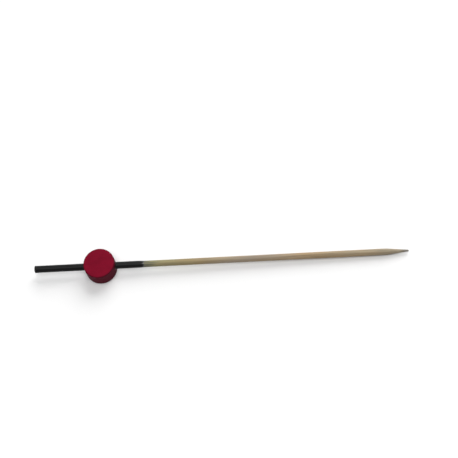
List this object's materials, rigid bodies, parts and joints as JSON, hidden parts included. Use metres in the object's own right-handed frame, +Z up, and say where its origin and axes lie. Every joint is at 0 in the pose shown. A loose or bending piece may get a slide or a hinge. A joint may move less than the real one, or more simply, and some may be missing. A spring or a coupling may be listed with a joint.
{
  "type": "cocktail pick",
  "caption": "Slim round bamboo cocktail pick with a black lacquered head end, a crimson wooden disc bead threaded on it, and a long sharpened point for canapes or drink garnishes.",
  "frame": {"origin": "centre of the bead's lower flat face", "axes": "+X along the stick from the head to the point, +Z up through the bead's two flat faces"},
  "size_m": [0.1502, 0.0126, 0.0067],
  "materials": {
    "bamboo": "bare bamboo, sanded round, fine straight fibre lines along the stick, dull",
    "lacquer": "thin dried black lacquer, soft gloss, with the fibres showing through",
    "crimson_wood": "turned wood under crimson paint, satin, with a faint grain",
    "glue": "thin dried clear glue"
  },
  "bodies": {
    "root": {"bamboo_stick": "bamboo", "black_lacquer": "lacquer", "disc_bead": "crimson_wood", "bead_glue": "glue"}
  },
  "joints": []
}
